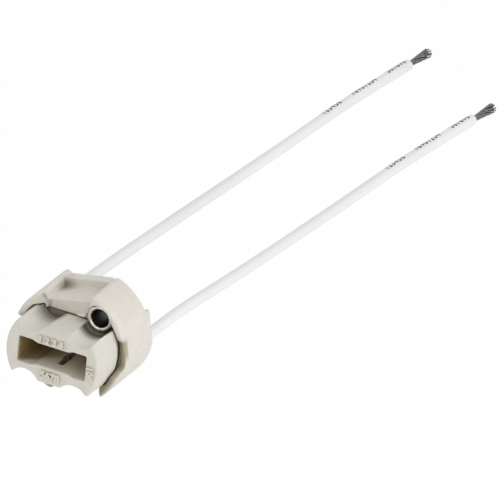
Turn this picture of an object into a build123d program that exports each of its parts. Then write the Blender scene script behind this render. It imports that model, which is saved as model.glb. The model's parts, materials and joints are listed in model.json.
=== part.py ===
"""Mini halogen lamp holder: a two-piece ceramic socket for a two-pin capsule lamp, with two leads.

The front ceramic has the slot that takes the lamp's flat glass foot. The rear ceramic closes it from
behind and holds the contacts, and two hollow rivets join the pair and serve as the fixing holes. Two
insulated leads leave the rear face side by side, with bare twisted strands at their ends.

Millimetres. The origin is on the lamp axis, in the joint plane of the two ceramics. +Z runs along the
lamp axis out of the slot, and the slot's long side runs along X. The holder looks the same after half
a turn about Z, apart from the lie of the leads. The rear ceramic's pockets and wings are turned on the
slot by cover_turn, and its features are sketched in that turned frame.
"""
import os
from math import acos, cos, degrees, hypot, pi, radians, sin, tan

from build123d import *

os.makedirs("parts", exist_ok=True)

# Front ceramic
socket_height = 10.0
socket_radius = 10.25
socket_flat = 5.15  # from the axis to the flats above and below the slot
lobe_flat = 6.0  # from the axis to the top of the lobes beside the slot
press_draft = 0.3  # degrees
rebate_height = 1.8
rebate_radius = 9.5
front_edge_round = 0.5

# Lamp slot
slot_width = 15.0
slot_end_height = 5.5
slot_middle_height = 4.7
slot_step_inner = 3.45
slot_step_outer = 4.55

# Grooves in the slot's walls, each with a leaf spring that holds the lamp's foot
groove_width = 1.3
groove_depth = 0.9
groove_offset = 0.45
groove_top = 7.0
leaf_width = 1.1
leaf_thickness = 0.25
leaf_rise = 0.15
leaf_bow_low = 1.5
leaf_bow_high = 6.2

# Register that centres the front ceramic in the rear one
register_depth = 0.6
register_clearance = 0.15

# Scooped corners of the front ceramic, deep at the joint and shallow at the front
scoop_joint_radius = 2.2
scoop_front_radius = 3.6
scoop_joint = (-4.75, 5.8)
scoop_front = (-5.1, 8.1)

# Rivets
rivet_circle_radius = 8.5
rivet_angle = 51.5  # degrees from the slot's long side
rivet_radius = 2.25
rivet_bore_radius = 1.9
rivet_lip_radius = 2.8
rivet_lip_height = 0.95
rear_lip_height = 0.6
rivet_hole_radius = 2.3
rivet_ledge = 0.3
rivet_lip_roll = 0.45  # share of the front lip's width that is rounded on each side
lip_pocket_radius = 3.0

# Flutes in the front ceramic that clear the rivets' lips
flute_radius = 3.3
flute_front = (5.7, 7.35)
flute_joint = (5.4, 6.75)

# Rear ceramic
socket_gap = 0.35
wing_wall = 1.35
cover_depth = 10.0
cover_turn = 11.5  # degrees
side_flat_depth = 0.45
pocket_half_width = 5.05
pocket_depth = 3.65  # from the rim, as are the two heights of the bar behind each pocket
bar_depth_front = 1.75
bar_depth_back = 2.4
bar_thickness = 3.6
pocket_mouth_round = 0.9
notch_low = -23.5  # degrees, where the notch beside each lead meets the wire wing
notch_high = 4.5  # degrees, where it meets the rivet wing
notch_rise = 1.1
rivet_wing_rise = 2.0
rivet_wing_lean = 45.0  # degrees from upright, the wing's end at the notch
wire_wing_rise = 4.0
wire_wing_lean = 25.0
wire_wing_foot = (-4.87, 6.55)  # where the wing's long slope meets the joint plane
wire_wing_slope = (0.72, -0.338, 0.607)
wing_edge_round = 0.6
rear_recess_depth = 1.4
rear_recess_start = 18.0  # degrees

# Leads
lead_diameter = 2.3
lead_hole_clearance = 0.15
lead_circle_radius = 8.2
lead_angle = -28.5  # degrees, the right-hand lead
insulation_start = -6.2
lead_bend_share = 0.45  # how much of the shorter side each bend takes up
strand_diameter = 0.22
strand_rings = ((4, 0.45), (8, 1))  # how many strands, and at what share of the radius
crimped_radius = 0.5
bare_length = 9.2
bare_root_radius = 0.42
bare_tip_radius = 0.82
bare_twist = 55.0  # degrees

# Contacts
pin_spacing = 9.0
contact_width = 3.0
contact_thickness = 0.4
contact_gap = 0.7
contact_bottom = -7.2
contact_top = 2.4
contact_mouth = 1.9
chamber_clearance = 0.3
chamber_depth = 8.0
chamber_half_height = 1.5
crimp_radius = 0.95
crimp_bore_radius = 0.55
crimp_low = -5.2
crimp_high = -1.8

# Shared places
half_turn = (0.0, 180.0)
cover_radius = socket_radius + socket_gap + wing_wall
pocket_floor = cover_radius - pocket_depth
cover_plane = Plane.XY.rotated((0, 0, cover_turn))
rivet_place = (
    rivet_circle_radius * cos(radians(rivet_angle)),
    rivet_circle_radius * sin(radians(rivet_angle)),
)
lead_place = (
    lead_circle_radius * cos(radians(lead_angle)),
    lead_circle_radius * sin(radians(lead_angle)),
)
pin_place = (pin_spacing / 2, 0)


def sector(radius, start, end, mode):
    """Combine a pie slice about the origin with the sketch being built."""
    with BuildLine() as outline:
        rim = CenterArc((0, 0), radius, start, end - start)
        Line((0, 0), rim @ 0)
        Line((0, 0), rim @ 1)
    make_face(outline.edges(), mode=mode)


def grooves(low, low_radius, low_height, high, high_radius, high_height):
    """Cut a round groove between two circles at two heights, and its copy half a turn away."""
    for turn in half_turn:
        with BuildSketch(Plane.XY.offset(low_height).rotated((0, 0, turn))) as lower:
            with Locations(low):
                Circle(low_radius)
        with BuildSketch(Plane.XY.offset(high_height).rotated((0, 0, turn))) as upper:
            with Locations(high):
                Circle(high_radius)
        loft([lower.sketch, upper.sketch], mode=Mode.SUBTRACT)


def register(clearance):
    """Draw the outline of the register, grown by a clearance."""
    Circle(rebate_radius + clearance)
    Rectangle(2 * (rebate_radius + clearance), 2 * (socket_flat + clearance), mode=Mode.INTERSECT)


# Front ceramic: a barrel with flats, pressed with a draft and scooped at its corners
with BuildPart() as socket_body:
    with BuildSketch():
        Circle(socket_radius)
        Rectangle(2 * socket_radius, 2 * lobe_flat, mode=Mode.INTERSECT)
        for turn in half_turn:
            with Locations(Location((0, 0, 0), (0, 0, turn))):
                with BuildLine():
                    Polyline(
                        (scoop_joint[0], socket_flat),
                        (flute_joint[0], socket_flat),
                        (flute_joint[0], socket_radius),
                        (scoop_joint[0], socket_radius),
                        close=True,
                    )
                make_face(mode=Mode.SUBTRACT)
    extrude(amount=socket_height)
    draft(socket_body.faces().filter_by(Axis.Z, reverse=True), Plane.XY, press_draft)

    # The front rim is rounded before the grooves cut it, and the short edges that they remove are left
    front_rim = socket_body.faces().sort_by(Axis.Z)[-1].outer_wire().edges()
    fillet(front_rim.filter_by(lambda e: e.length > socket_flat), front_edge_round)

    # Register under the joint plane
    with BuildSketch(Plane.XY.offset(-register_depth)):
        register(0)
    extrude(amount=register_depth)

    # Scoops and flutes
    grooves(scoop_joint, scoop_joint_radius, -register_depth, scoop_front, scoop_front_radius, socket_height)
    grooves(flute_joint, flute_radius, rivet_ledge, flute_front, flute_radius, socket_height)

    # Rebate behind the lobes, which leaves a dark gap above the rear ceramic
    with BuildSketch():
        Circle(socket_radius + wing_wall)
        Circle(rebate_radius, mode=Mode.SUBTRACT)
    extrude(amount=rebate_height, mode=Mode.SUBTRACT)

    # Slot for the lamp's foot, right through
    with BuildSketch(Plane.XY.offset(-register_depth)):
        Rectangle(slot_width, slot_middle_height)
        for way in (1, -1):
            with BuildLine():
                Polyline(
                    (way * slot_step_inner, slot_middle_height / 2),
                    (way * slot_step_outer, slot_end_height / 2),
                    (way * slot_width / 2, slot_end_height / 2),
                    (way * slot_width / 2, -slot_end_height / 2),
                    (way * slot_step_outer, -slot_end_height / 2),
                    (way * slot_step_inner, -slot_middle_height / 2),
                    close=True,
                )
            make_face()
    extrude(amount=socket_height + register_depth, mode=Mode.SUBTRACT)

    # Grooves for the leaf springs
    for turn in half_turn:
        with BuildSketch(Plane.XY.offset(-register_depth).rotated((0, 0, turn))):
            with Locations((groove_offset, -slot_middle_height / 2)):
                Rectangle(groove_width, 2 * groove_depth)
        extrude(amount=groove_top + register_depth, mode=Mode.SUBTRACT)

    # Half-round notches for the rivets in the ledges under their lips
    with Locations(Plane.XY.offset(-register_depth)):
        with PolarLocations(rivet_circle_radius, 2, start_angle=rivet_angle):
            Cylinder(
                rivet_hole_radius,
                register_depth + rivet_ledge,
                align=(Align.CENTER, Align.CENTER, Align.MIN),
                mode=Mode.SUBTRACT,
            )
socket_body.part.label = "socket_body"
export_step(socket_body.part, "parts/socket_body.step")

# Wings of the rear ceramic that rise round the front one
pocket_edge_angle = degrees(acos(pocket_half_width / cover_radius))


def cover_plan(sketch):
    """Draw the rear ceramic's outline, with its side flats and the round-mouthed pockets."""
    Circle(cover_radius)
    Rectangle(2 * (cover_radius - side_flat_depth), 2 * cover_radius, mode=Mode.INTERSECT)
    with Locations((0, pocket_floor + cover_radius), (0, -pocket_floor - cover_radius)):
        Rectangle(2 * pocket_half_width, 2 * cover_radius, mode=Mode.SUBTRACT)
    rim_corners = sketch.vertices().filter_by(lambda v: abs(v.Y) > pocket_floor + pocket_mouth_round)
    fillet(rim_corners, pocket_mouth_round)


def top_rim(wing):
    """The edges of a wing's top that lie along the ceramic's rim."""
    top_edges = wing.faces().sort_by(Axis.Z)[-1].edges()
    return top_edges.filter_by(lambda e: hypot(e.center().X, e.center().Y) > cover_radius - wing_wall / 2)


def notch_end(angle, way, lean):
    """The plane of a wing's end at the notch: it stands on a radius and leans back over the wing."""
    across = Vector(-sin(radians(angle)), cos(radians(angle)), 0) * way
    normal = across * cos(radians(lean)) + Vector(0, 0, sin(radians(lean)))
    foot = cover_plane.from_local_coords(
        (cover_radius * cos(radians(angle)), cover_radius * sin(radians(angle)), notch_rise)
    )
    return Plane(foot, z_dir=normal.rotate(Axis.Z, cover_turn))


with BuildPart() as wire_wing:
    with BuildSketch(cover_plane) as plan:
        cover_plan(plan)
        sector(2 * cover_radius, 90, 180 + notch_low, Mode.INTERSECT)
    extrude(amount=wire_wing_rise)
    fillet(top_rim(wire_wing), wing_edge_round)
    long_slope = Plane(
        cover_plane.from_local_coords((*wire_wing_foot, 0)),
        z_dir=Vector(wire_wing_slope).rotate(Axis.Z, cover_turn),
    )
    split(bisect_by=long_slope, keep=Keep.BOTTOM)
    split(bisect_by=notch_end(180 + notch_low, 1, wire_wing_lean), keep=Keep.BOTTOM)

with BuildPart() as rivet_wing:
    with BuildSketch(cover_plane) as plan:
        cover_plan(plan)
        sector(2 * cover_radius, notch_high, 90, Mode.INTERSECT)
    extrude(amount=rivet_wing_rise)
    fillet(top_rim(rivet_wing), wing_edge_round)
    split(bisect_by=notch_end(notch_high, -1, rivet_wing_lean), keep=Keep.BOTTOM)

# The notch's low wall runs on under both wings
with BuildPart() as notch_wall:
    with BuildSketch(cover_plane) as plan:
        cover_plan(plan)
        sector(2 * cover_radius, 2 * notch_low, 2 * notch_high, Mode.INTERSECT)
    extrude(amount=notch_rise)

# Bar that closes a pocket from behind, drafted on its outside
with BuildPart() as pocket_bar:
    with BuildSketch(Plane((0, 0, 0), x_dir=cover_plane.y_dir, z_dir=cover_plane.x_dir)):
        with BuildLine():
            Polyline(
                (0, -cover_depth),
                (cover_radius - bar_depth_back, -cover_depth),
                (cover_radius - bar_depth_front, bar_thickness - cover_depth),
                (0, bar_thickness - cover_depth),
                close=True,
            )
        make_face()
    extrude(amount=pocket_half_width, both=True)

# Rear ceramic: a disc with pockets, their bars and the rising wings
with BuildPart() as rear_cover:
    with BuildSketch(cover_plane.offset(-cover_depth)) as plan:
        cover_plan(plan)
    extrude(amount=cover_depth)
    for turn in half_turn:
        for feature in (pocket_bar, wire_wing, rivet_wing, notch_wall):
            add(feature.part, rotation=(0, 0, turn))

    # Room for the front ceramic above the joint plane, and the register below it
    with BuildSketch():
        Circle(socket_radius + socket_gap)
        Rectangle(2 * cover_radius, 2 * (lobe_flat + socket_gap), mode=Mode.INTERSECT)
        for turn in half_turn:
            with Locations(Location((0, 0, 0), (0, 0, turn)) * Location((*scoop_joint, 0))):
                Rectangle(
                    2 * (scoop_joint_radius - register_clearance),
                    2 * (scoop_joint[1] - socket_flat - register_clearance),
                    mode=Mode.SUBTRACT,
                )
    extrude(amount=wire_wing_rise, mode=Mode.SUBTRACT)
    with BuildSketch(Plane.XY.offset(-register_depth - register_clearance)):
        register(register_clearance)
    extrude(amount=register_depth + register_clearance, mode=Mode.SUBTRACT)

    # Recesses for the rivets' rear lips, open to the side
    for turn in half_turn:
        with BuildSketch(cover_plane.offset(-cover_depth)):
            Circle(cover_radius + wing_wall)
            Circle(rivet_circle_radius - lip_pocket_radius, mode=Mode.SUBTRACT)
            sector(2 * cover_radius, turn + rear_recess_start, turn + pocket_edge_angle, Mode.INTERSECT)
        extrude(amount=rear_recess_depth, mode=Mode.SUBTRACT)

    # Rivet holes, with pockets for the front lips
    with PolarLocations(rivet_circle_radius, 2, start_angle=rivet_angle):
        Hole(rivet_hole_radius)
    with BuildSketch(Plane.XY.offset(rivet_ledge)):
        with PolarLocations(rivet_circle_radius, 2, start_angle=rivet_angle):
            Circle(lip_pocket_radius)
    extrude(amount=rivet_wing_rise, mode=Mode.SUBTRACT)

    # Lead holes, and a chamber for each contact joined to its lead hole
    for turn in half_turn:
        with BuildSketch(Plane.XY.offset(-cover_depth).rotated((0, 0, turn))):
            with Locations(lead_place):
                Circle(lead_diameter / 2 + lead_hole_clearance)
        extrude(amount=cover_depth, mode=Mode.SUBTRACT)
        with BuildSketch(Plane.XY.offset(-chamber_depth).rotated((0, 0, turn))):
            with Locations(pin_place):
                Circle(chamber_half_height)
            with Locations(lead_place):
                Circle(lead_diameter / 2 + lead_hole_clearance)
            make_hull()
            with Locations(pin_place):
                Rectangle(contact_width + 2 * chamber_clearance, 2 * chamber_half_height)
        extrude(amount=chamber_depth, mode=Mode.SUBTRACT)
rear_cover.part.label = "rear_cover"
export_step(rear_cover.part, "parts/rear_cover.step")

# Hollow rivet: a tube with a rolled lip on the front and a flatter one behind
with BuildPart() as rivet:
    lip_low = rear_recess_depth - cover_depth
    with BuildSketch(Plane((*rivet_place, 0), x_dir=(1, 0, 0), z_dir=(0, -1, 0))):
        with BuildLine():
            Polyline(
                (rivet_bore_radius, lip_low - rear_lip_height),
                (rivet_lip_radius, lip_low - rear_lip_height),
                (rivet_lip_radius, lip_low),
                (rivet_radius, lip_low),
                (rivet_radius, rivet_ledge),
                (rivet_lip_radius, rivet_ledge),
                (rivet_lip_radius, rivet_ledge + rivet_lip_height),
                (rivet_bore_radius, rivet_ledge + rivet_lip_height),
                close=True,
            )
        profile = make_face()
        corners = profile.vertices().group_by(Axis.Y)[-1]
        fillet(corners, rivet_lip_roll * (rivet_lip_radius - rivet_bore_radius))
    revolve(axis=Axis((*rivet_place, 0), (0, 0, 1)))
for name, turn in zip(("right", "left"), half_turn):
    piece = rivet.part.rotate(Axis.Z, turn)
    piece.label = f"rivet_{name}"
    export_step(piece, f"parts/rivet_{name}.step")

# Contact: a U spring that grips one lamp pin, with a crimp barrel beside it
leg_offset = (contact_gap + contact_thickness) / 2
with BuildPart() as contact:
    with BuildSketch(Plane.YZ.offset(pin_place[0])):
        with BuildLine() as spring_line:
            right_leg = Polyline(
                (leg_offset, contact_bottom + leg_offset),
                (leg_offset, 0),
                (contact_mouth / 2, contact_top),
            )
            left_leg = Polyline(
                (-leg_offset, contact_bottom + leg_offset),
                (-leg_offset, 0),
                (-contact_mouth / 2, contact_top),
            )
            ThreePointArc(right_leg @ 0, (0, contact_bottom), left_leg @ 0)
        trace(line_width=contact_thickness)
    extrude(amount=contact_width / 2, both=True)
    with BuildSketch(Plane.XY.offset(crimp_low)):
        with BuildLine():
            Line((pin_place[0] + contact_width / 2, -leg_offset), lead_place)
        trace(line_width=contact_thickness)
        with Locations(lead_place):
            Circle(crimp_radius)
            Circle(crimp_bore_radius, mode=Mode.SUBTRACT)
    extrude(amount=crimp_high - crimp_low)
for name, turn in zip(("right", "left"), half_turn):
    piece = contact.part.rotate(Axis.Z, turn)
    piece.label = f"contact_{name}"
    export_step(piece, f"parts/contact_{name}.step")

# Leaf spring that bears on the lamp's foot, standing in its groove
with BuildPart() as leaf:
    back = leaf_thickness / 2 - slot_middle_height / 2 - groove_depth
    with BuildSketch(Plane.YZ.offset(groove_offset)):
        with BuildLine():
            stem = Line((back, -register_depth), (back, leaf_bow_low))
            Spline(
                stem @ 1,
                (leaf_rise - slot_middle_height / 2, (leaf_bow_low + leaf_bow_high) / 2),
                (back + leaf_thickness, leaf_bow_high),
                tangents=((0, 1), (0, 1)),
            )
        trace(line_width=leaf_thickness)
    extrude(amount=leaf_width / 2, both=True)
for name, turn in zip(("lower", "upper"), half_turn):
    piece = leaf.part.rotate(Axis.Z, turn)
    piece.label = f"leaf_spring_{name}"
    export_step(piece, f"parts/leaf_spring_{name}.step")


def lead_pieces(name, place, drifts):
    """Make one lead, its crimped inner end and its bare outer end. The drifts are the route's points."""
    route = [Vector(place[0] + x, place[1] + y, z) for x, y, z in drifts]
    radii = []
    for before, point, after in zip(route, route[1:], route[2:]):
        turn = (point - before).get_angle(after - point)
        shorter = min((point - before).length, (after - point).length)
        radii.append(lead_bend_share * shorter / tan(radians(turn) / 2))
    print(f"lead_{name} radii", [round(radius) for radius in radii])
    with BuildPart() as lead:
        with BuildLine() as path:
            FilletPolyline(*route, radius=radii)
        with BuildSketch(Plane(route[0], z_dir=route[1] - route[0])):
            Circle(lead_diameter / 2)
        sweep()
    length = path.wires()[0].length
    section_area = pi * lead_diameter ** 2 / 4
    print(f"lead_{name} length", round(length, 2), "section times length", round(length * section_area, 1),
          "volume", round(lead.part.volume, 1))
    lead.part.label = f"lead_{name}"
    export_step(lead.part, f"parts/lead_{name}.step")

    with BuildPart(Plane(route[0])) as crimped:
        Cylinder(
            crimped_radius,
            crimp_high - insulation_start,
            align=(Align.CENTER, Align.CENTER, Align.MIN),
        )
    crimped.part.label = f"crimped_strands_{name}"
    export_step(crimped.part, f"parts/crimped_strands_{name}.step")

    end = Plane(route[-1], z_dir=route[-1] - route[-2])
    with BuildPart(end) as bare:
        Cylinder(
            bare_root_radius + strand_diameter / 2,
            strand_diameter,
            align=(Align.CENTER, Align.CENTER, Align.MIN),
        )
        for count, share in strand_rings:
            for step in range(count):
                angle = 360 * step / count
                root = Vector(share * bare_root_radius, 0, strand_diameter / 2).rotate(Axis.Z, angle)
                tip = Vector(share * bare_tip_radius, 0, bare_length).rotate(Axis.Z, angle + bare_twist)
                root = end.from_local_coords(root)
                tip = end.from_local_coords(tip)
                with BuildSketch(Plane(root, z_dir=tip - root)) as section:
                    Circle(strand_diameter / 2)
                extrude(section.sketch, amount=(tip - root).length)
    bare.part.label = f"bare_strands_{name}"
    export_step(bare.part, f"parts/bare_strands_{name}.step")


right_drifts = [
    (0, 0, insulation_start),
    (0.05, -0.05, -28),
    (0.9, -1.5, -50),
    (1.85, -2.5, -75),
    (3.0, -3.05, -100),
    (4.3, -3.25, -125),
    (5.83, -4.35, -148),
]
left_drifts = [
    (0, 0, insulation_start),
    (0.05, -0.7, -28),
    (0.6, -1.6, -50),
    (1.35, -2.55, -75),
    (2.3, -3.2, -100),
    (3.4, -3.25, -125),
    (4.73, -4.35, -148),
]
lead_pieces("right", lead_place, right_drifts)
lead_pieces("left", (-lead_place[0], -lead_place[1]), left_drifts)
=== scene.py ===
"""Mini halogen lamp holder: finishes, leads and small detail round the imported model.

Metres, in the model's own frame: +Z runs along the lamp axis out of the slot, the slot's long side
runs along X, and the leads hang towards -Z.
"""
import json
import math
import random

import bpy
from mathutils import Matrix, Vector

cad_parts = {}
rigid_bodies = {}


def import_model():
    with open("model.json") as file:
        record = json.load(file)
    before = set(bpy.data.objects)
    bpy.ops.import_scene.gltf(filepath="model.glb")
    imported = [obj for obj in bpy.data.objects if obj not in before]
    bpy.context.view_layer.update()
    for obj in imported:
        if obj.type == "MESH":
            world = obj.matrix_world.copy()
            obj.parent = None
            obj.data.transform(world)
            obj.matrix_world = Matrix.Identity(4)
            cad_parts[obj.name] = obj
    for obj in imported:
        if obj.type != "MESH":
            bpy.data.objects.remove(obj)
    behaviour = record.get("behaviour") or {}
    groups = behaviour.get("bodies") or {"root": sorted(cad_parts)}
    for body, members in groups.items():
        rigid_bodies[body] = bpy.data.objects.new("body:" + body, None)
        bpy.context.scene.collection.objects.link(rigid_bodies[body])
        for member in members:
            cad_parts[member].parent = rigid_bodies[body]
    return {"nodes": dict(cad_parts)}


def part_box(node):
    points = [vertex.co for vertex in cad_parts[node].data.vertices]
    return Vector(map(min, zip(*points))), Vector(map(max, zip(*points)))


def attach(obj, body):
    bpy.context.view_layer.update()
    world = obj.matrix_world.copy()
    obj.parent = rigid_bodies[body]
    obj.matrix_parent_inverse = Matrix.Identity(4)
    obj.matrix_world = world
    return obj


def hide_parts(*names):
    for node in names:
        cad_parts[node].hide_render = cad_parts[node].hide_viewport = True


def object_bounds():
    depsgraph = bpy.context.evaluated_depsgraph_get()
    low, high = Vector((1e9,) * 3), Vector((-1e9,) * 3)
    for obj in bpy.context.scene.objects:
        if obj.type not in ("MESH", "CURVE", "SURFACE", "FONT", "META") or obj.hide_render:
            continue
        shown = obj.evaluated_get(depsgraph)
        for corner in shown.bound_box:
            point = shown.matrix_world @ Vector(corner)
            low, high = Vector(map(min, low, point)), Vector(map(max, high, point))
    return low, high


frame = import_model()
cad_low, cad_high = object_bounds()

MM = 0.001
MERGE_DISTANCE = 0.001 * MM

# Ceramics
CERAMIC_VOXEL = 0.14 * MM
CERAMIC_SMOOTHING = 9
CERAMIC_FACES_KEPT = 0.8
MARK_HEIGHT = 0.5 * MM
MARK_ROUNDING = 0.1 * MM
MARK_BOLDNESS = 0.045 * MM
MARK_BEVEL_STEPS = 2
MARK_CURVE_STEPS = 5

# Digits on the front face: the size and the place of their middle in millimetres, and their turn
FRONT_MARKS = (
    ("1 2 3 4", 1.95, (-0.35, 3.6), 0.0),
    ("5678", 2.1, (0.1, -3.95), 0.0),
    ("901", 1.9, (8.65, -0.45), math.radians(90)),
)

# What is cut from the rear ceramic and filled on it, in millimetres. The ledge's corners lie in
# the rear ceramic's own turned frame.
COVER_TURN = math.radians(11.5)
LEDGE_LOW = (-0.6, 6.2, 0.03)
LEDGE_HIGH = (4.75, 8.29, 2.4)
CREASE = ((-7.15, 10.2, 3.0), (-6.1, 7.09, 0.6), (-6.15, 5.3, 0.05))
CREASE_RADIUS = 0.4
ROD_SIDES = 32
SCOOP_FLOOR_LOW = (-6.7, 3.6, -1.2)
SCOOP_FLOOR_HIGH = (-2.7, 6.9, 0.0)

# Rivets
RIVET_STEPS = 96
RIVET_BORE = 1.9 * MM
RIVET_TUBE = 2.25 * MM
LIP_LEDGE = 0.3 * MM
LIP_STEPS = 12
LIP_FLATNESS = 0.8
LIP_SMOOTH_ANGLE = math.radians(50)
REAR_LIP_HEIGHT = 0.6 * MM

# Leads, with the route's points as they are in the model's source
LEAD_RADIUS = 1.15 * MM
LEAD_ROUND_STEPS = 10
LEAD_LINE_STEPS = 16
LEAD_X, LEAD_Y = 7.2063, -3.9127
RIGHT_DRIFTS = (
    (0, 0, -6.2),
    (0.05, -0.05, -28),
    (0.9, -1.5, -50),
    (1.85, -2.5, -75),
    (3.0, -3.05, -100),
    (4.3, -3.25, -125),
    (5.83, -4.35, -148),
)
LEFT_DRIFTS = (
    (0, 0, -6.2),
    (0.05, -0.7, -28),
    (0.6, -1.6, -50),
    (1.35, -2.55, -75),
    (2.3, -3.2, -100),
    (3.4, -3.25, -125),
    (4.73, -4.35, -148),
)

# Print on the leads: the digits, and how far along the lead they start in millimetres
PRINT_WORDS = (("123456", 107.4), ("78901234", 119.2), ("567890", 133.5))
PRINT_SIZE = 2.1 * MM
PRINT_BOLDNESS = 0.035 * MM
PRINT_SPACING = 1.2
PRINT_LIFT = 0.012 * MM
PRINT_ANGLE = math.radians(-110)
PRINT_SLICES = (-0.3, -0.2, -0.1, 0.0, 0.1, 0.2, 0.3)

# Bare ends: each ring has a number of strands and a share of the bundle's radius
STRAND_RADIUS = 0.16 * MM
STRAND_RINGS = ((1, 0.0), (5, 0.5), (11, 1.0))
STRAND_KNOTS = 22
STRAND_SMOOTH_ANGLE = math.radians(40)
BARE_LENGTH = 8.8 * MM
ROOT_RADIUS = 0.42 * MM
TIP_RADIUS = 0.93 * MM
STRAND_TWIST = math.radians(135)
STRAND_START = 0.6 * MM
STRAND_JITTER = 0.4
STRAND_STRAY = 0.05 * MM
LENGTH_LOSS = 0.025
OPENING_POWER = 1.5

# Camera, square on to the photograph's frame
CAMERA_RIGHT = Vector((0.8823, 0.0845, -0.4631))
CAMERA_UP = Vector((-0.2796, 0.8855, -0.3710))
CAMERA_AIM = Vector((28.2, 22.0, -15.8)) * MM
CAMERA_LENS = 1000.0
SENSOR_WIDTH = 36.0
FRAME_WIDTH = 97.47 * MM

# Light: the key lamp's side is its share of the camera's right, up and back
WORLD_LIGHT = 0.9
KEY_SIDE = (0.8, -0.1, 0.6)
KEY_DISTANCE = 0.9
KEY_SIZE = 1.1
KEY_POWER = 3.8
KEY_COLOUR = (1.0, 1.0, 1.05)
FLOOR_SIZE = 8
FLOOR_DROP = 3 * MM
FLOOR_WHITE = 0.94


class Signal:
    """A shader socket that takes part in Python arithmetic."""

    def __init__(self, finish, socket):
        self.finish = finish
        self.socket = socket

    def _math(self, operation, first, second=0.0):
        return self.finish.node("ShaderNodeMath", {"operation": operation}, {0: first, 1: second})

    def __add__(self, other):
        return self._math("ADD", self, other)

    def __radd__(self, other):
        return self._math("ADD", other, self)

    def __sub__(self, other):
        return self._math("SUBTRACT", self, other)

    def __rsub__(self, other):
        return self._math("SUBTRACT", other, self)

    def __mul__(self, other):
        return self._math("MULTIPLY", self, other)

    def __rmul__(self, other):
        return self._math("MULTIPLY", other, self)

    def __abs__(self):
        return self._math("ABSOLUTE", self)

    def __pow__(self, other):
        return self._math("POWER", self, other)


class Finish:
    """A material in the making, with a method that adds any node."""

    def __init__(self, name):
        self.material = bpy.data.materials.new(name)
        self.material.use_nodes = True
        self.tree = self.material.node_tree
        self.shader = self.tree.nodes["Principled BSDF"]

    def feed(self, socket, value):
        """Link a signal to a socket, or set the socket to a plain value."""
        if isinstance(value, Signal):
            self.tree.links.new(value.socket, socket)
        else:
            socket.default_value = value

    def node(self, kind, settings=None, sockets=None, output=0):
        """Add any node, with its settings and what goes into its sockets."""
        made = self.tree.nodes.new(kind)
        for name, value in (settings or {}).items():
            setattr(made, name, value)
        for name, value in (sockets or {}).items():
            self.feed(made.inputs[name], value)
        return Signal(self, made.outputs[output])

    def place(self, scale=(1.0, 1.0, 1.0), where=(0.0, 0.0, 0.0)):
        """Object coordinates, moved and scaled."""
        coords = self.node("ShaderNodeTexCoord", output=3)
        sockets = {"Vector": coords, "Location": where, "Scale": scale}
        return self.node("ShaderNodeMapping", None, sockets)

    def axes(self):
        """Object coordinates in millimetres, as three numbers."""
        coords = self.node("ShaderNodeTexCoord", output=3)
        parts = self.node("ShaderNodeSeparateXYZ", None, {0: coords}).socket.node.outputs
        return [Signal(self, part) * (1 / MM) for part in parts]

    def noise(self, size, detail, roughness, place=None):
        """Noise between 0 and 1 whose blotches are about this size in metres."""
        place = place or self.place()
        sockets = {"Vector": place, "Scale": 1 / size, "Detail": detail, "Roughness": roughness}
        return self.node("ShaderNodeTexNoise", {"noise_dimensions": "3D"}, sockets)

    def blend(self, share, first, second):
        """Mix two colours."""
        sockets = {0: share, 6: first, 7: second}
        return self.node("ShaderNodeMix", {"data_type": "RGBA"}, sockets, output=2)

    def spread(self, value, low, high, to_high=1.0):
        """Map the range from low to high, which may fall, onto 0 to 1, or to another top value."""
        return self.node(
            "ShaderNodeMapRange",
            {"clamp": True},
            {"Value": value, "From Min": low, "From Max": high, "To Min": 0.0, "To Max": to_high},
        )

    def attribute(self, name):
        """A number stored on the mesh's points."""
        return self.node("ShaderNodeAttribute", {"attribute_name": name}, output=2)

    def bump(self, height, distance, strength):
        """Fine relief in the normal."""
        sockets = {"Height": height, "Distance": distance, "Strength": strength}
        return self.node("ShaderNodeBump", None, sockets)

    def surface(self, **sockets):
        """Feed the shader's own sockets and give back the material."""
        for name, value in sockets.items():
            self.feed(self.shader.inputs[name.replace("_", " ")], value)
        return self.material


def rgb(red, green, blue):
    """A display colour, 0 to 255, as the linear colour that a shader takes."""
    def linear(value):
        value /= 255
        return value / 12.92 if value <= 0.04045 else ((value + 0.055) / 1.055) ** 2.4
    return (linear(red), linear(green), linear(blue), 1.0)


# Finishes

# Painted shade on the front ceramic, and a painted highlight on each flute. A pair says where a
# share begins and where it is full, and a triple of whole numbers is a colour. Places are in
# millimetres, and those of grooves lie on the half with Y above 0.
SLOT_ENDS = (7.62, 7.5)
SLOT_SIDES = (2.92, 2.78)
SLOT_DEPTH = (10.0, 5.0)
SLOT_SHADE = (190, 173, 138)
LEFT_END = (-7.3, -7.45)
LEFT_END_DEPTH = (10.1, 8.6)
LEFT_END_SHADE = (116, 102, 70)
SLOT_LEFT = -7.5
FACE_LEVEL = 10.0
CORNER_LEAN = 0.75
CORNER_DEPTH = (-0.2, 1.2)
CORNER_FADE = (1.0, -4.0)
CORNER_SHADE = (140, 116, 66)
GROOVES_ONLY = (3.0, 3.3)
FLUTE_AXIS = (5.5, 7.0)
FLUTE_EDGE = (3.7, 3.4)
FLUTE_HIGHLIGHT_LOW = (3.8, 6.0)
FLUTE_HIGHLIGHT_HIGH = (9.4, 6.8)
FLUTE_HIGHLIGHT = (234, 230, 220)
FLUTE_DEPTH = (4.9, 2.5)
FLUTE_SHADE = (46, 40, 28)
SCOOP_AXIS = (-4.75, 5.9)
SCOOP_EDGE = (3.2, 2.5)
SCOOP_DEPTH = (5.4, 1.2)
SCOOP_POWER = 1.3
SCOOP_SHADE = (98, 94, 76)
JOINT_DEPTH = (0.45, 0.1)
JOINT_SHADE = (92, 78, 52)
MARK_FOOT = (0.04, 0.12)
MARK_CROWN = (0.48, 0.4)
MARK_SHADE = (136, 126, 102)

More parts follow.
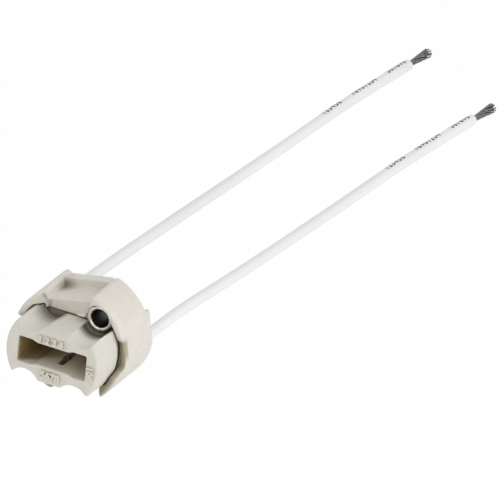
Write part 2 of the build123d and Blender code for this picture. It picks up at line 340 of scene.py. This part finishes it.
# Shade on the rear ceramic, told in the same way
ABOVE_JOINT = (-0.2, 0.2)
JOINT_Y = 5.25
MOUTH_EDGE = (2.6, 2.3)
MOUTH_TOP = (0.5, 0.1)
MOUTH_FLOOR = (-0.6, -0.3)
MOUTH_SHADE = (88, 84, 66)
LINE_EDGE = (0.2, 0.1)
JOINT_LINE_SHADE = (70, 58, 38)
CREASE_EDGE = (0.75, 0.2)
CREASE_LOW = (0.4, 0.8)
CREASE_HIGH = (3.6, 2.6)
CREASE_SHADE = (96, 82, 54)
FOOT_EDGE = (0.5, 0.15)
FOOT_TOP = (0.8, 0.5)
FOOT_OUTER = (7.4, 7.0)
FOOT_SHARE = 0.6
LEDGE_SIDES = (5.4, 5.0)
LEDGE_INNER = (6.0, 6.5)
RIM_REACH = (11.8, 10.7)
RIM_TOP = (11.93, 11.75)
RIM_WINGS = (5.0, 3.8)
RIM_WIDER = (1.0, -3.0)
RIM_WIDTH = 0.4
RIM_SHADE = (120, 104, 68)
NOTCH_MIDDLE = -1.9
NOTCH_ENDS = (3.2, 2.7)
NOTCH_SIDE = (9.0, 10.0)
NOTCH_REACH = (11.95, 11.6)
NOTCH_SHADE = (140, 128, 92)
TIP_REACH = (12.2, 10.9)
TIP_FADE = (-2.5, -5.0)
TIP_SHADE = (136, 122, 90)
POCKET_CORNER = (-5.05, 8.3, -6.4)
POCKET_REACH = (3.4, 0.2)
POCKET_WALL = (-5.15, -4.85)
POCKET_OUTER = (10.8, 9.2)
POCKET_SHADE = (92, 78, 50)

FACE_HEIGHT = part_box("socket_body")[1].z


def pressed_ceramic(name, light, dark, offset, shade):
    """Unglazed pressed steatite: waxy off-white with faint clouds, fine grain and a few specks."""
    finish = Finish(name)
    place = finish.place(where=(offset, offset, offset))
    clouds = finish.noise(3.5 * MM, detail=3.0, roughness=0.55, place=place)
    mottle = finish.noise(0.7 * MM, detail=3.0, roughness=0.6, place=place)
    grain = finish.noise(0.09 * MM, detail=2.0, roughness=0.6, place=place)
    specks = finish.noise(0.32 * MM, detail=0.0, roughness=0.5, place=place)
    share = finish.spread(clouds * 0.6 + mottle * 0.4, 0.36, 0.66)
    colour = finish.blend(share, light, dark)
    colour = finish.blend(finish.spread(specks, 0.76, 0.82) * 0.35, colour, rgb(150, 140, 120))
    height = grain * 0.5 + mottle * 0.5
    return finish.surface(
        Base_Color=shade(finish, colour),
        Roughness=0.5 + grain * 0.16,
        Normal=finish.bump(height, 0.03 * MM, 0.4),
        Subsurface_Weight=0.08,
        Subsurface_Radius=(1.0, 0.75, 0.5),
        Subsurface_Scale=0.5 * MM,
        Specular_IOR_Level=0.4,
    )


def halfway(x, y):
    """Fold the two halves of the holder, alike after half a turn, onto the half with Y above 0."""
    side = x.finish.node("ShaderNodeMath", {"operation": "SIGN"}, {0: y})
    return x * side, abs(y)


def length(parts):
    """The length of a vector whose parts are signals."""
    total = parts[0] * parts[0]
    for part in parts[1:]:
        total = total + part * part
    return total ** 0.5


def from_axis(x, y, axis):
    """How far a point lies from a line along Z."""
    return length([x - axis[0], y - axis[1]])


def from_line(point, start, end):
    """How far a point lies from the line through two others."""
    start, end = Vector(start), Vector(end)
    heading = (end - start).normalized()
    offset = [part - begin for part, begin in zip(point, start)]
    square = offset[0] * offset[0] + offset[1] * offset[1] + offset[2] * offset[2]
    ahead = offset[0] * heading[0] + offset[1] * heading[1] + offset[2] * heading[2]
    return (square - ahead * ahead) ** 0.5


def front_shade(finish, colour):
    """Painted shade, brown deep in the lamp slot and soft where the grooves run into the joint."""
    spread = finish.spread
    x, y, z = finish.axes()
    # Painted brown shade deep in the lamp slot, darker at its left end and past a slanting painted
    # shadow edge there.
    inside = spread(abs(x), *SLOT_ENDS) * spread(abs(y), *SLOT_SIDES)
    colour = finish.blend(inside * spread(z, *SLOT_DEPTH) * 0.62, colour, rgb(*SLOT_SHADE))
    end = spread(x, *LEFT_END) * spread(z, *LEFT_END_DEPTH)
    colour = finish.blend(inside * end * 0.9, colour, rgb(*LEFT_END_SHADE))
    corner = spread(FACE_LEVEL - z - (x - SLOT_LEFT) * CORNER_LEAN, *CORNER_DEPTH)
    corner = corner * spread(x, *CORNER_FADE)
    colour = finish.blend(inside * corner * 0.85, colour, rgb(*CORNER_SHADE))

    x, y = halfway(x, y)
    outside = spread(y, *GROOVES_ONLY)
    flute = spread(from_axis(x, y, FLUTE_AXIS), *FLUTE_EDGE) * outside
    # Painted highlight: a lighter patch on each flute's upper part.
    highlight = spread(z, *FLUTE_HIGHLIGHT_LOW) * spread(z, *FLUTE_HIGHLIGHT_HIGH)
    colour = finish.blend(flute * highlight * 0.6, colour, rgb(*FLUTE_HIGHLIGHT))
    # Painted dark shade at each flute's foot, under the rivet's lip.
    colour = finish.blend(flute * spread(z, *FLUTE_DEPTH) * 0.95, colour, rgb(*FLUTE_SHADE))
    # Painted shade deep in each scoop.
    scoop = spread(from_axis(x, y, SCOOP_AXIS), *SCOOP_EDGE) * outside
    scoop = scoop * spread(z, *SCOOP_DEPTH) ** SCOOP_POWER
    colour = finish.blend(scoop * 0.75, colour, rgb(*SCOOP_SHADE))

    # Painted brown shade along the foot of the front ceramic, at its joint with the rear one.
    colour = finish.blend(spread(z, *JOINT_DEPTH) * 0.85, colour, rgb(*JOINT_SHADE))
    # Painted shade down the sides of the raised digits, leaving their tops light.
    over = z - FACE_HEIGHT / MM
    mark_side = spread(over, *MARK_FOOT) * spread(over, *MARK_CROWN)
    return finish.blend(mark_side * 0.55, colour, rgb(*MARK_SHADE))


def rear_shade(finish, colour):
    """Browner shade round the front ceramic, in the creases and in the pockets' blind corners."""
    spread = finish.spread
    x, y, z = finish.axes()
    radius = length([x, y])
    above = spread(z, *ABOVE_JOINT)
    half_x, half_y = halfway(x, y)
    along = x * math.cos(COVER_TURN) + y * math.sin(COVER_TURN)
    out = y * math.cos(COVER_TURN) - x * math.sin(COVER_TURN)
    pocket_x, pocket_y = halfway(along, out)
    side_x, side_y = halfway(out, along)

    # Painted shade on the wings' inner rims, along the gap round the front ceramic.
    ledge = spread(abs(pocket_x), *LEDGE_SIDES) * spread(pocket_y, *LEDGE_INNER)
    reach = radius - spread(y, *RIM_WIDER) * RIM_WIDTH
    rim = spread(reach, *RIM_REACH) * spread(radius, *RIM_TOP) * spread(y, *RIM_WINGS)
    colour = finish.blend(rim * above * (1 - ledge) * 0.75, colour, rgb(*RIM_SHADE))
    # Painted shade on each notch's top face, beside the front ceramic's flank.
    notch = spread(abs(side_x - NOTCH_MIDDLE), *NOTCH_ENDS) * spread(side_y, *NOTCH_SIDE)
    notch = notch * spread(radius, *NOTCH_REACH) * above
    colour = finish.blend(notch * 0.6, colour, rgb(*NOTCH_SHADE))

    # Painted shade in each scoop's mouth, with a dark line painted as shade where the scoop meets
    # the ledge.
    mouth = spread(from_axis(half_x, half_y, SCOOP_AXIS), *MOUTH_EDGE)
    mouth = mouth * spread(z, *MOUTH_TOP) * spread(z, *MOUTH_FLOOR)
    beside = spread(half_y - JOINT_Y, LINE_EDGE[1], -LINE_EDGE[1])
    colour = finish.blend(mouth * beside * 0.8, colour, rgb(*MOUTH_SHADE))
    line = spread(abs(half_y - JOINT_Y), *LINE_EDGE)
    colour = finish.blend(mouth * line * 0.85, colour, rgb(*JOINT_LINE_SHADE))

    # Painted shade along the crease at each wing's foot.
    crease = spread(from_line((half_x, half_y, z), CREASE[0], CREASE[1]), *CREASE_EDGE)
    crease = crease * spread(z, *CREASE_LOW) * spread(z, *CREASE_HIGH)
    foot = spread(from_line((half_x, half_y, z), CREASE[1], CREASE[2]), *FOOT_EDGE)
    foot = foot * spread(z, *FOOT_TOP) * spread(half_y, *FOOT_OUTER)
    colour = finish.blend((crease + foot * FOOT_SHARE) * 0.8, colour, rgb(*CREASE_SHADE))

    # Painted shade on the low tips of the wings.
    tip = spread(radius, *TIP_REACH) * spread(y, *TIP_FADE) * above
    colour = finish.blend(tip * 0.5, colour, rgb(*TIP_SHADE))
    # Painted shade in each pocket's blind corner.
    parts = [part - corner for part, corner in zip((pocket_x, pocket_y, z), POCKET_CORNER)]
    corner = spread(length(parts), *POCKET_REACH)
    corner = corner * spread(pocket_x, *POCKET_WALL) * spread(pocket_y, *POCKET_OUTER)
    return finish.blend(corner * 0.85, colour, rgb(*POCKET_SHADE))


def plated_metal(name, colour, tarnish, roughness, scratch_size):
    """Nickel-plated sheet: thin drawing marks, a little tarnish, soft gloss."""
    finish = Finish(name)
    drawn = finish.place(scale=(1.0, 1.0, 8.0))
    marks = finish.noise(scratch_size, detail=2.0, roughness=0.6, place=drawn)
    patches = finish.noise(0.9 * MM, detail=3.0, roughness=0.6)
    return finish.surface(
        Base_Color=finish.blend(finish.spread(patches, 0.42, 0.72), colour, tarnish),
        Metallic=1.0,
        Roughness=roughness + finish.spread(marks, 0.3, 0.7) * 0.14,
        Normal=finish.bump(marks, 0.012 * MM, 0.5),
    )


def turned_rivet(name):
    """Nickel-plated brass: bright on its rolled lip, painted shade on its side and down its bore.
    """
    finish = Finish(name)
    depth = finish.attribute("depth")
    patches = finish.noise(0.7 * MM, detail=3.0, roughness=0.6)
    marks = finish.noise(0.15 * MM, detail=2.0, roughness=0.6)
    worn = finish.spread(patches, 0.42, 0.7)
    bright = finish.blend(worn, rgb(246, 241, 232), rgb(214, 205, 190))
    # Painted shade: darker down the lip's side, and near black and less metallic down the bore.
    dull_and_shaded = finish.blend(finish.spread(depth, 0.0, 0.5), bright, rgb(128, 114, 92))
    return finish.surface(
        Base_Color=finish.blend(finish.spread(depth, 0.5, 1.0), dull_and_shaded, rgb(20, 15, 11)),
        Metallic=1.0 - finish.spread(depth, 0.6, 1.0) * 0.8,
        Roughness=0.22 + finish.spread(marks, 0.3, 0.7) * 0.16,
        Normal=finish.bump(marks, 0.01 * MM, 0.4),
    )


def white_insulation(name):
    """Smooth white lead insulation with a faint orange-peel skin and a few rubbed patches."""
    finish = Finish(name)
    peel = finish.noise(0.25 * MM, detail=2.0, roughness=0.5)
    drawn = finish.place(scale=(1.0, 1.0, 0.25))
    rubbed = finish.noise(9 * MM, detail=3.0, roughness=0.6, place=drawn)
    share = finish.spread(rubbed, 0.4, 0.7)
    return finish.surface(
        Base_Color=finish.blend(share, rgb(228, 228, 227), rgb(222, 222, 222)),
        Roughness=0.42 + finish.spread(rubbed, 0.3, 0.7) * 0.12,
        Normal=finish.bump(peel, 0.012 * MM, 0.3),
        Specular_IOR_Level=0.35,
    )


def print_ink(name):
    """Dark marking ink, thin and a little broken."""
    finish = Finish(name)
    worn = finish.spread(finish.noise(0.22 * MM, detail=2.0, roughness=0.6), 0.45, 0.75)
    return finish.surface(
        Base_Color=finish.blend(worn, rgb(16, 16, 18), rgb(58, 59, 62)),
        Roughness=0.6,
    )


def tinned_wire(name):
    """Dull tinned copper strands, with painted shade where they lie deep in the bundle."""
    finish = Finish(name)
    depth = finish.attribute("depth")
    dull_and_shaded = finish.noise(0.5 * MM, detail=3.0, roughness=0.6)
    outer = finish.blend(finish.spread(dull_and_shaded, 0.35, 0.7), rgb(158, 156, 154), rgb(84, 82, 80))
    # Painted shade: near black and less metallic where the strands lie deep in the bundle.
    return finish.surface(
        Base_Color=finish.blend(finish.spread(depth, 0.08, 0.6), outer, rgb(16, 15, 15)),
        Metallic=1.0 - finish.spread(depth, 0.3, 1.0) * 0.7,
        Roughness=0.26 + finish.spread(dull_and_shaded, 0.3, 0.7) * 0.16,
    )


SOCKET_CERAMIC = pressed_ceramic(
    "socket_ceramic", rgb(212, 209, 199), rgb(205, 201, 190), 0.0, front_shade
)
COVER_CERAMIC = pressed_ceramic(
    "cover_ceramic", rgb(216, 212, 203), rgb(208, 204, 193), 0.05, rear_shade
)
RIVET_PLATE = turned_rivet("rivet_plate")
CONTACT_PLATE = plated_metal(
    "contact_plate", rgb(190, 182, 168), rgb(140, 126, 104), 0.28, 0.1 * MM
)
SPRING_STEEL = plated_metal(
    "spring_steel", rgb(170, 160, 142), rgb(110, 98, 80), 0.3, 0.08 * MM
)
INSULATION = white_insulation("lead_insulation")
INK = print_ink("lead_print")
TINNED = tinned_wire("tinned_copper")


# Tools for modelling

def deselect_all():
    for item in bpy.context.view_layer.objects:
        item.select_set(False)


def activate(item):
    deselect_all()
    item.select_set(True)
    bpy.context.view_layer.objects.active = item


def set_finish(item, material):
    item.data.materials.clear()
    item.data.materials.append(material)


def apply_modifier(item, kind, **settings):
    activate(item)
    modifier = item.modifiers.new(kind.lower(), kind)
    for name, value in settings.items():
        setattr(modifier, name, value)
    bpy.ops.object.modifier_apply(modifier=modifier.name)


def settle(item):
    """Put a piece's place into its mesh, so that its object sits at the origin."""
    activate(item)
    bpy.ops.object.transform_apply(location=True, rotation=True, scale=True)


def join(name, items):
    """Join pieces into the first one, under a new name."""
    deselect_all()
    for item in items:
        item.select_set(True)
    bpy.context.view_layer.objects.active = items[0]
    bpy.ops.object.join()
    items[0].name = name
    items[0].data.name = name
    return items[0]


def finished(piece, slot, *nodes):
    """Ride a piece on the holder and hide the nodes that it stands for. Its slot is not used."""
    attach(piece, "root")
    if nodes:
        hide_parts(*nodes)


def raised_digits(text, size, centre, turn):
    """Plain digits with rounded edges that stand on a face that looks along +Z, as a mesh."""
    deselect_all()
    bpy.ops.object.text_add(location=centre, rotation=(0, 0, turn))
    mark = bpy.context.object
    mark.data.body = text
    mark.data.size = size
    mark.data.align_x = "CENTER"
    mark.data.align_y = "CENTER"
    mark.data.offset = MARK_BOLDNESS
    mark.data.extrude = MARK_HEIGHT - MARK_ROUNDING
    mark.data.bevel_depth = MARK_ROUNDING
    mark.data.bevel_resolution = MARK_BEVEL_STEPS
    mark.data.resolution_u = MARK_CURVE_STEPS
    activate(mark)
    bpy.ops.object.convert(target="MESH")
    mark = bpy.context.object
    settle(mark)
    return mark


def rod(start, end, radius):
    """A round rod between two points given in millimetres."""
    start, end = Vector(start) * MM, Vector(end) * MM
    deselect_all()
    bpy.ops.mesh.primitive_cylinder_add(
        vertices=ROD_SIDES,
        radius=radius * MM,
        depth=(end - start).length,
        location=(start + end) / 2,
        rotation=(end - start).to_track_quat("Z", "Y").to_euler(),
    )
    made = bpy.context.object
    settle(made)
    return made


def bar(low, high, turn):
    """A square bar between two corners given in millimetres, turned about the lamp axis."""
    low, high = Vector(low) * MM, Vector(high) * MM
    deselect_all()
    bpy.ops.mesh.primitive_cube_add(size=1, location=(low + high) / 2, scale=high - low)
    made = bpy.context.object
    settle(made)
    made.rotation_euler = (0, 0, turn)
    settle(made)
    return made


def carve(piece, tools):
    """Cut tools out of a piece."""
    for tool in tools:
        apply_modifier(piece, "BOOLEAN", operation="DIFFERENCE", object=tool, solver="EXACT")
        bpy.data.objects.remove(tool)


def softened_ceramic(name, node, marks=(), cuts=(), fills=()):
    """A pressed ceramic copied from its node, with its edges softened and its marks joined on."""
    source = frame["nodes"][node]
    piece = bpy.data.objects.new(name, source.data.copy())
    bpy.context.scene.collection.objects.link(piece)
    activate(piece)
    bpy.ops.object.mode_set(mode="EDIT")
    bpy.ops.mesh.select_all(action="SELECT")
    bpy.ops.mesh.remove_doubles(threshold=MERGE_DISTANCE)
    bpy.ops.object.mode_set(mode="OBJECT")
    carve(piece, cuts)
    if fills:
        piece = join(name, [piece, *fills])
    apply_modifier(piece, "REMESH", mode="VOXEL", voxel_size=CERAMIC_VOXEL, adaptivity=0.0)
    apply_modifier(piece, "SMOOTH", factor=0.5, iterations=CERAMIC_SMOOTHING)
    apply_modifier(piece, "DECIMATE", decimate_type="COLLAPSE", ratio=CERAMIC_FACES_KEPT)
    activate(piece)
    bpy.ops.object.shade_smooth()
    if marks:
        piece = join(name, [piece, *marks])
    return piece


# Ceramics

front_marks = [
    raised_digits(text, size * MM, (x * MM, y * MM, FACE_HEIGHT), turn)
    for text, size, (x, y), turn in FRONT_MARKS
]
front_ceramic = softened_ceramic("front_ceramic", "socket_body", front_marks)
set_finish(front_ceramic, SOCKET_CERAMIC)
finished(front_ceramic, "socket_ceramic", "socket_body")

# The low ledge before each pocket, the crease at the wing's foot and the floor under each scoop
ledge_cuts, scoop_fills = [], []
for turn in (0.0, math.pi):
    half = Matrix.Rotation(turn, 3, "Z")
    ledge_cuts.append(bar(LEDGE_LOW, LEDGE_HIGH, turn + COVER_TURN))
    for start, end in zip(CREASE, CREASE[1:]):
        ledge_cuts.append(rod(half @ Vector(start), half @ Vector(end), CREASE_RADIUS))
    scoop_fills.append(bar(SCOOP_FLOOR_LOW, SCOOP_FLOOR_HIGH, turn))
rear_ceramic = softened_ceramic("rear_ceramic", "rear_cover", cuts=ledge_cuts, fills=scoop_fills)
set_finish(rear_ceramic, COVER_CERAMIC)
finished(rear_ceramic, "cover_ceramic", "rear_cover")


# Rivets

def lip_profile(low, high, bore, tube, lip):
    """Points (radius, height) of a rolled lip, from the bore over the crown to under its rim."""
    half = (lip - bore) / 2
    rise = half * LIP_FLATNESS
    points = []
    for step in range(LIP_STEPS + 1):
        angle = math.pi - math.pi * step / LIP_STEPS
        radius = bore + half + half * math.cos(angle)
        points.append((radius, high - rise + rise * math.sin(angle)))
    points.append((lip * 0.995, low + 0.12 * MM))
    points.append((lip * 0.96, low + 0.02 * MM))
    points.append((tube, low))
    return points


def rivet_depth(point, centre, top, lip):
    """A rivet's painted shade at a point: 0 on its crown, 0.5 down its side and 1 deep in its
    bore.
    """
    below = (top - point.z) / MM
    reach = math.hypot(point.x - centre.x, point.y - centre.y)
    if reach < RIVET_BORE * 1.03:
        return min(1.0, below * 1.6)
    outward = min(1.0, max(0.0, (reach / lip - 0.9) / 0.09))
    return max(0.5 * outward, min(0.5, 0.9 * below - 0.2))


def rivet_piece(name, node):
    """A hollow rivet turned about its axis, with a rolled front lip and a flatter rear one."""
    low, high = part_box(node)
    centre = (low + high) / 2
    lip = (high.x - low.x) / 2
    front = lip_profile(LIP_LEDGE, high.z, RIVET_BORE, RIVET_TUBE, lip)
    bore_mouth = front[0][1]
    rear_seat = low.z + REAR_LIP_HEIGHT
    outline = front + [
        (RIVET_TUBE, rear_seat),
        (lip * 0.97, rear_seat),
        (lip, rear_seat - 0.2 * MM),
        (lip * 0.96, low.z + 0.08 * MM),
        (lip * 0.88, low.z),
        (RIVET_BORE * 1.06, low.z),
        (RIVET_BORE, low.z + 0.15 * MM),
        (RIVET_BORE, bore_mouth - 1.4 * MM),
        (RIVET_BORE, bore_mouth - 0.5 * MM),
    ]
    mesh = bpy.data.meshes.new(name)
    points = [(centre.x + radius, centre.y, height) for radius, height in outline]
    edges = [(step, (step + 1) % len(points)) for step in range(len(points))]
    mesh.from_pydata(points, edges, [])
    piece = bpy.data.objects.new(name, mesh)
    bpy.context.scene.collection.objects.link(piece)
    activate(piece)
    bpy.ops.object.mode_set(mode="EDIT")
    bpy.ops.mesh.select_all(action="SELECT")
    axis_foot = (centre.x, centre.y, 0)
    bpy.ops.mesh.spin(steps=RIVET_STEPS, angle=2 * math.pi, center=axis_foot, axis=(0, 0, 1))
    bpy.ops.mesh.select_all(action="SELECT")
    bpy.ops.mesh.remove_doubles(threshold=MERGE_DISTANCE)
    bpy.ops.mesh.normals_make_consistent(inside=False)
    bpy.ops.object.mode_set(mode="OBJECT")
    bpy.ops.object.shade_smooth_by_angle(angle=LIP_SMOOTH_ANGLE)
    # How deep each point lies below the crown, for the rivet's painted shade.
    depth = piece.data.attributes.new("depth", "FLOAT", "POINT")
    for vertex, value in zip(piece.data.vertices, depth.data):
        value.value = rivet_depth(vertex.co, centre, high.z, lip)
    set_finish(piece, RIVET_PLATE)
    finished(piece, "rivet_plate", node)


for side in ("right", "left"):
    rivet_piece(f"rolled_rivet_{side}", f"rivet_{side}")


# Contacts and springs keep their nodes

for node, material in (
    ("contact_right", CONTACT_PLATE),
    ("contact_left", CONTACT_PLATE),
    ("leaf_spring_lower", SPRING_STEEL),
    ("leaf_spring_upper", SPRING_STEEL),
    ("crimped_strands_right", TINNED),
    ("crimped_strands_left", TINNED),
):
    set_finish(frame["nodes"][node], material)


# Leads

def lead_curve(name, place, drifts):
    """One lead as a smooth curve through its route, with the insulation's thickness."""
    curve = bpy.data.curves.new(name, "CURVE")
    curve.dimensions = "3D"
    curve.bevel_depth = LEAD_RADIUS
    curve.bevel_resolution = LEAD_ROUND_STEPS
    curve.resolution_u = LEAD_LINE_STEPS
    curve.use_fill_caps = True
    spline = curve.splines.new("NURBS")
    spline.points.add(len(drifts) - 1)
    for point, (x, y, z) in zip(spline.points, drifts):
        point.co = ((place[0] + x) * MM, (place[1] + y) * MM, z * MM, 1)
    spline.order_u = 3
    spline.use_endpoint_u = True
    lead = bpy.data.objects.new(name, curve)
    bpy.context.scene.collection.objects.link(lead)
    lead.data.materials.append(INSULATION)
    return lead


def centreline(lead):
    """The points of a lead's smooth line, in order from the holder."""
    bare = lead.copy()
    bare.data = lead.data.copy()
    bare.data.bevel_depth = 0
    bare.data.use_fill_caps = False
    bpy.context.scene.collection.objects.link(bare)
    bpy.context.view_layer.update()
    depsgraph = bpy.context.evaluated_depsgraph_get()
    mesh = bpy.data.meshes.new_from_object(bare.evaluated_get(depsgraph))
    points = [vertex.co.copy() for vertex in mesh.vertices]
    bpy.data.objects.remove(bare)
    if points[0].z < points[-1].z:
        points.reverse()
    return points


def place_along(points, distance):
    """The point and direction at a distance along a line, up to its end."""
    walked = 0.0
    for before, after in zip(points, points[1:]):
        step = (after - before).length
        if walked + step >= distance:
            break
        walked += step
    direction = (after - before).normalized()
    return before + direction * (distance - walked), direction


def line_length(points):
    return sum((after - before).length for before, after in zip(points, points[1:]))


def across(direction):
    """Two unit vectors across a direction, the first turned towards +X."""
    first = (Vector((1, 0, 0)) - direction * direction.x).normalized()
    return first, direction.cross(first)


def bundle_radius(along):
    """How far the outer strands lie from the bundle's middle, at a share of its length."""
    return ROOT_RADIUS + (TIP_RADIUS - ROOT_RADIUS) * along ** OPENING_POWER


def twisted_strands(name, points, seed):
    """The bare end: thin strands in a loose twist that open out a little towards their tips."""
    chance = random.Random(seed)
    end, direction = place_along(points, line_length(points))
    first, second = across(direction)
    parts = []
    for count, share in STRAND_RINGS:
        for step in range(count):
            start_angle = 2 * math.pi * (step + STRAND_JITTER * chance.random()) / count
            bare = BARE_LENGTH * (1 - LENGTH_LOSS * chance.random())
            stray = STRAND_STRAY * chance.uniform(-1, 1)
            curve = bpy.data.curves.new(f"{name}_strand", "CURVE")
            curve.dimensions = "3D"
            curve.bevel_depth = STRAND_RADIUS
            curve.bevel_resolution = 2
            curve.use_fill_caps = True
            spline = curve.splines.new("POLY")
            spline.points.add(STRAND_KNOTS - 1)
            for knot, point in enumerate(spline.points):
                along = knot / (STRAND_KNOTS - 1)
                radius = share * (bundle_radius(along) + stray * along ** OPENING_POWER)
                angle = start_angle + STRAND_TWIST * along
                where = end + direction * (along * bare - STRAND_START)
                where += (first * math.cos(angle) + second * math.sin(angle)) * radius
                point.co = (*where, 1)
            strand = bpy.data.objects.new(f"{name}_strand", curve)
            bpy.context.scene.collection.objects.link(strand)
            activate(strand)
            bpy.ops.object.convert(target="MESH")
            parts.append(bpy.context.object)
    bundle = join(name, parts)
    bpy.ops.object.shade_smooth_by_angle(angle=STRAND_SMOOTH_ANGLE)
    # How deep each point lies in the bundle, for the strands' painted shade.
    depth = bundle.data.attributes.new("depth", "FLOAT", "POINT")
    for vertex, value in zip(bundle.data.vertices, depth.data):
        offset = vertex.co - end
        along = offset.dot(direction)
        skin = bundle_radius(max(0.0, (along + STRAND_START) / BARE_LENGTH)) + STRAND_RADIUS
        below = skin - (offset - direction * along).length
        value.value = min(1.0, max(0.0, below / (2 * STRAND_RADIUS)))
    set_finish(bundle, TINNED)
    return bundle


def lead_print(name, points):
    """Plain digits printed along a lead, wrapped on its skin."""
    skin = LEAD_RADIUS + PRINT_LIFT
    words = []
    for digits, start in PRINT_WORDS:
        deselect_all()
        bpy.ops.object.text_add()
        text = bpy.context.object.data
        text.body = digits
        text.size = PRINT_SIZE
        text.align_y = "CENTER"
        text.offset = PRINT_BOLDNESS
        text.space_character = PRINT_SPACING
        text.resolution_u = 3
        activate(bpy.context.object)
        bpy.ops.object.convert(target="MESH")
        word = bpy.context.object
        bpy.ops.object.mode_set(mode="EDIT")
        for share in PRINT_SLICES:
            bpy.ops.mesh.select_all(action="SELECT")
            bpy.ops.mesh.bisect(plane_co=(0, share * PRINT_SIZE, 0), plane_no=(0, 1, 0))
        bpy.ops.object.mode_set(mode="OBJECT")
        for vertex in word.data.vertices:
            middle, direction = place_along(points, start * MM + vertex.co.x)
            first, second = across(direction)
            angle = PRINT_ANGLE - vertex.co.y / LEAD_RADIUS
            vertex.co = middle + (first * math.cos(angle) + second * math.sin(angle)) * skin
        words.append(word)
    printed = join(name, words)
    set_finish(printed, INK)
    return printed


for side, place, drifts, seed in (
    ("right", (LEAD_X, LEAD_Y), RIGHT_DRIFTS, 7),
    ("left", (-LEAD_X, -LEAD_Y), LEFT_DRIFTS, 19),
):
    lead = lead_curve(f"insulated_lead_{side}", place, drifts)
    finished(lead, "lead_insulation", f"lead_{side}")
    strands = twisted_strands(f"twisted_strands_{side}", centreline(lead), seed)
    finished(strands, "tinned_copper", f"bare_strands_{side}")
    printed = lead_print(f"lead_print_{side}", centreline(lead))
    finished(printed, "lead_insulation")


# Camera, floor and light

def add_camera():
    data = bpy.data.cameras.new("camera")
    data.lens = CAMERA_LENS
    data.sensor_width = SENSOR_WIDTH
    data.clip_start = 0.1
    data.clip_end = 20
    camera = bpy.data.objects.new("camera", data)
    bpy.context.scene.collection.objects.link(camera)
    right = CAMERA_RIGHT.normalized()
    back = right.cross(CAMERA_UP).normalized()
    up = back.cross(right)
    turn = Matrix((right, up, back)).transposed()
    camera.rotation_mode = "QUATERNION"
    camera.rotation_quaternion = turn.to_quaternion()
    camera.location = CAMERA_AIM + back * (FRAME_WIDTH * CAMERA_LENS / SENSOR_WIDTH)
    bpy.context.scene.camera = camera
    return right, up, back


def add_lamp(name, direction, distance, size, power, colour):
    """A square soft lamp that looks at the holder from a direction."""
    data = bpy.data.lights.new(name, "AREA")
    data.shape = "SQUARE"
    data.size = size
    data.energy = power
    data.color = colour
    lamp = bpy.data.objects.new(name, data)
    bpy.context.scene.collection.objects.link(lamp)
    lamp.location = direction.normalized() * distance
    lamp.rotation_mode = "QUATERNION"
    lamp.rotation_quaternion = direction.to_track_quat("Z", "Y")
    lamp.visible_camera = False


def add_floor():
    """A pale floor just under the lead ends, white to the camera but keeping its shadow."""
    deselect_all()
    bpy.ops.mesh.primitive_plane_add(size=FLOOR_SIZE, location=(0, 0, cad_low.z - FLOOR_DROP))
    floor = bpy.context.object
    floor.name = "floor"
    finish = Finish("floor_white")
    tree = finish.tree
    rays = tree.nodes.new("ShaderNodeLightPath")
    seen = Signal(finish, rays.outputs["Is Camera Ray"])
    seen = seen + Signal(finish, rays.outputs["Is Glossy Ray"])
    seen = seen + Signal(finish, rays.outputs["Is Transmission Ray"])
    share = finish.spread(seen, 0.0, 1.0, FLOOR_WHITE)
    finish.surface(Base_Color=(0.9, 0.9, 0.9, 1.0), Roughness=0.9)
    white = finish.node("ShaderNodeEmission", None, {"Color": (1, 1, 1, 1), "Strength": 1.0})
    mixed = tree.nodes.new("ShaderNodeMixShader")
    finish.feed(mixed.inputs[0], share)
    tree.links.new(finish.shader.outputs[0], mixed.inputs[1])
    tree.links.new(white.socket, mixed.inputs[2])
    tree.links.new(mixed.outputs[0], tree.nodes["Material Output"].inputs["Surface"])
    floor.data.materials.append(finish.material)
    settle(floor)


def add_world(strength):
    """An even pale surround, plain white where the camera sees it."""
    world = bpy.data.worlds.new("surround")
    bpy.context.scene.world = world
    world.use_nodes = True
    tree = world.node_tree
    background = tree.nodes["Background"]
    background.inputs["Color"].default_value = (1, 1, 1, 1)
    rays = tree.nodes.new("ShaderNodeLightPath")
    scale = tree.nodes.new("ShaderNodeMapRange")
    scale.inputs["To Min"].default_value = strength
    scale.inputs["To Max"].default_value = 1.0
    seen = tree.nodes.new("ShaderNodeMath")
    seen.operation = "MAXIMUM"
    tree.links.new(rays.outputs["Is Camera Ray"], seen.inputs[0])
    tree.links.new(rays.outputs["Is Transmission Ray"], seen.inputs[1])
    tree.links.new(seen.outputs[0], scale.inputs["Value"])
    tree.links.new(scale.outputs[0], background.inputs["Strength"])


camera_right, camera_up, camera_back = add_camera()
add_floor()
add_world(WORLD_LIGHT)
key_side = camera_right * KEY_SIDE[0] + camera_up * KEY_SIDE[1] + camera_back * KEY_SIDE[2]
add_lamp("key", key_side, KEY_DISTANCE, KEY_SIZE, KEY_POWER, KEY_COLOUR)
bpy.context.scene.view_settings.view_transform = "Standard"
